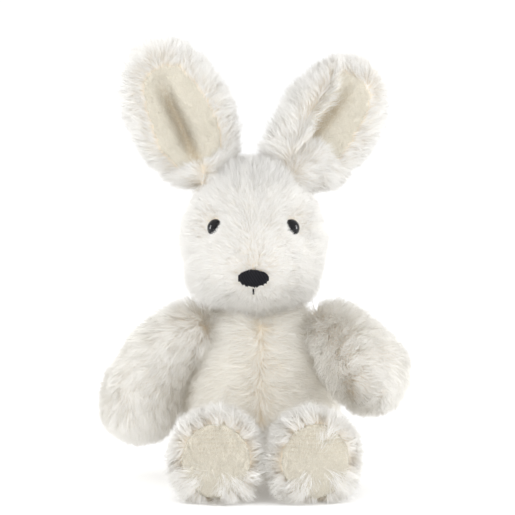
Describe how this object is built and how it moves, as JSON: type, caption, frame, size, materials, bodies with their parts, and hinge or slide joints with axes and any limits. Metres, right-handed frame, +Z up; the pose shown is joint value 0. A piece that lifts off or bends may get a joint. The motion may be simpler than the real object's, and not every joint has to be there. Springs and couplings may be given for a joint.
{
  "type": "stuffed bunny",
  "caption": "Soft toy rabbit that sits upright, in long cream fur fabric with velvet soles and ear linings, dark eyes and a stitched nose; its head, limbs, ears and tail bend at sewn seams.",
  "frame": {"origin": "centre of the flat seat, on the surface the toy sits on", "axes": "+Z up, the face looks along -Y, +X is the animal's own left"},
  "size_m": [0.1886, 0.1794, 0.2755],
  "materials": {
    "fur_fabric": "long cream-white pile",
    "velvet": "short beige pile",
    "filling": "loose white fibre",
    "cotton_cloth": "matte",
    "thread": "matte",
    "nose_yarn": "matte",
    "eye_plastic": "gloss",
    "washer_plastic": "matte",
    "pellet_plastic": "matte"
  },
  "bodies": {
    "body": {"body_front_left": "fur_fabric", "body_front_right": "fur_fabric", "body_back_left": "fur_fabric", "body_back_right": "fur_fabric", "body_stuffing": "filling", "bean_bag": "cotton_cloth", "bean_pellets": "pellet_plastic", "back_closing_thread": "thread"},
    "neck_ring": {"neck_thread": "thread"},
    "neck_plug": {"neck_stuffing": "filling"},
    "head": {"head_left_panel": "fur_fabric", "head_right_panel": "fur_fabric", "head_back_panel": "fur_fabric", "head_stuffing": "filling", "left_eye": "eye_plastic", "right_eye": "eye_plastic", "eye_washers": "washer_plastic", "nose": "nose_yarn", "mouth_thread": "nose_yarn"},
    "tail_ring": {"tail_thread": "thread"},
    "tail": {"tail_cover": "fur_fabric", "tail_stuffing": "filling"},
    "left_ear_ring": {"left_ear_thread": "thread"},
    "left_ear": {"left_ear_back": "fur_fabric", "left_ear_lining": "velvet"},
    "left_shoulder_ring": {"left_shoulder_thread": "thread"},
    "left_arm": {"left_arm_front_panel": "fur_fabric", "left_arm_back_panel": "fur_fabric", "left_arm_stuffing": "filling"},
    "left_hip_ring": {"left_hip_thread": "thread"},
    "left_leg": {"left_leg_upper_panel": "fur_fabric", "left_leg_lower_panel": "fur_fabric", "left_leg_stuffing": "filling", "left_foot_pad": "velvet"},
    "right_ear_ring": {"right_ear_thread": "thread"},
    "right_ear": {"right_ear_back": "fur_fabric", "right_ear_lining": "velvet"},
    "right_shoulder_ring": {"right_shoulder_thread": "thread"},
    "right_arm": {"right_arm_front_panel": "fur_fabric", "right_arm_back_panel": "fur_fabric", "right_arm_stuffing": "filling"},
    "right_hip_ring": {"right_hip_thread": "thread"},
    "right_leg": {"right_leg_upper_panel": "fur_fabric", "right_leg_lower_panel": "fur_fabric", "right_leg_stuffing": "filling", "right_foot_pad": "velvet"}
  },
  "joints": [
    {"name": "head_turn", "type": "hinge", "parent": "body", "child": "neck_ring", "pos_m": [-0.00225, -0.003, 0.133], "axis": [0, 0, 1], "range_deg": [-60, 60], "stiffness_Nm_per_rad": 0.6},
    {"name": "head_nod", "type": "hinge", "parent": "neck_ring", "child": "neck_plug", "pos_m": [-0.00225, -0.003, 0.133], "axis": [1, 0, 0], "range_deg": [-20, 16], "stiffness_Nm_per_rad": 0.9},
    {"name": "head_tilt", "type": "hinge", "parent": "neck_plug", "child": "head", "pos_m": [-0.00225, -0.003, 0.133], "axis": [0, 1, 0], "range_deg": [-16, 16], "stiffness_Nm_per_rad": 0.9},
    {"name": "left_arm_swing", "type": "hinge", "parent": "body", "child": "left_shoulder_ring", "pos_m": [0.04421, -0.003, 0.09102], "axis": [1, 0, 0], "range_deg": [-65, 22], "stiffness_Nm_per_rad": 0.15},
    {"name": "left_arm_sideways", "type": "hinge", "parent": "left_shoulder_ring", "child": "left_arm", "pos_m": [0.04421, -0.003, 0.09102], "axis": [0, 1, 0], "range_deg": [-70, 4], "stiffness_Nm_per_rad": 0.2},
    {"name": "left_leg_spread", "type": "hinge", "parent": "body", "child": "left_hip_ring", "pos_m": [0.02484, -0.05041, 0.025], "axis": [0, 0, 1], "range_deg": [-8, 35], "stiffness_Nm_per_rad": 0.3},
    {"name": "left_leg_lift", "type": "hinge", "parent": "left_hip_ring", "child": "left_leg", "pos_m": [0.02484, -0.05041, 0.025], "axis": [1, 0, 0], "range_deg": [-40, 60], "stiffness_Nm_per_rad": 0.3},
    {"name": "left_ear_lean", "type": "hinge", "parent": "head", "child": "left_ear_ring", "pos_m": [0.01967, -0.00317, 0.19522], "axis": [-0.2408, 0.9272, -0.287], "range_deg": [-15, 15], "stiffness_Nm_per_rad": 0.06},
    {"name": "left_ear_flop", "type": "hinge", "parent": "left_ear_ring", "child": "left_ear", "pos_m": [0.01967, -0.00317, 0.19522], "axis": [0.766, 0, -0.6428], "range_deg": [-35, 60], "stiffness_Nm_per_rad": 0.06},
    {"name": "right_arm_swing", "type": "hinge", "parent": "body", "child": "right_shoulder_ring", "pos_m": [-0.04421, -0.003, 0.09102], "axis": [1, 0, 0], "range_deg": [-80, 60], "stiffness_Nm_per_rad": 0.15},
    {"name": "right_arm_sideways", "type": "hinge", "parent": "right_shoulder_ring", "child": "right_arm", "pos_m": [-0.04421, -0.003, 0.09102], "axis": [0, -1, 0], "range_deg": [-75, 5], "stiffness_Nm_per_rad": 0.2},
    {"name": "right_leg_spread", "type": "hinge", "parent": "body", "child": "right_hip_ring", "pos_m": [-0.02484, -0.05041, 0.025], "axis": [0, 0, -1], "range_deg": [-8, 35], "stiffness_Nm_per_rad": 0.3},
    {"name": "right_leg_lift", "type": "hinge", "parent": "right_hip_ring", "child": "right_leg", "pos_m": [-0.02484, -0.05041, 0.025], "axis": [1, 0, 0], "range_deg": [-60, 60], "stiffness_Nm_per_rad": 0.3},
    {"name": "right_ear_lean", "type": "hinge", "parent": "head", "child": "right_ear_ring", "pos_m": [-0.03219, -0.00343, 0.19311], "axis": [-0.0442, -0.9945, 0.0947], "range_deg": [-15, 15], "stiffness_Nm_per_rad": 0.06},
    {"name": "right_ear_flop", "type": "hinge", "parent": "right_ear_ring", "child": "right_ear", "pos_m": [-0.03219, -0.00343, 0.19311], "axis": [0.9063, 0, 0.4226], "range_deg": [-45, 60], "stiffness_Nm_per_rad": 0.06},
    {"name": "tail_lift", "type": "hinge", "parent": "body", "child": "tail_ring", "pos_m": [0, 0.05008, 0.026], "axis": [1, 0, 0], "range_deg": [-20, 20], "stiffness_Nm_per_rad": 0.03},
    {"name": "tail_wag", "type": "hinge", "parent": "tail_ring", "child": "tail", "pos_m": [0, 0.05008, 0.026], "axis": [0, 0, 1], "range_deg": [-20, 20], "stiffness_Nm_per_rad": 0.03}
  ]
}
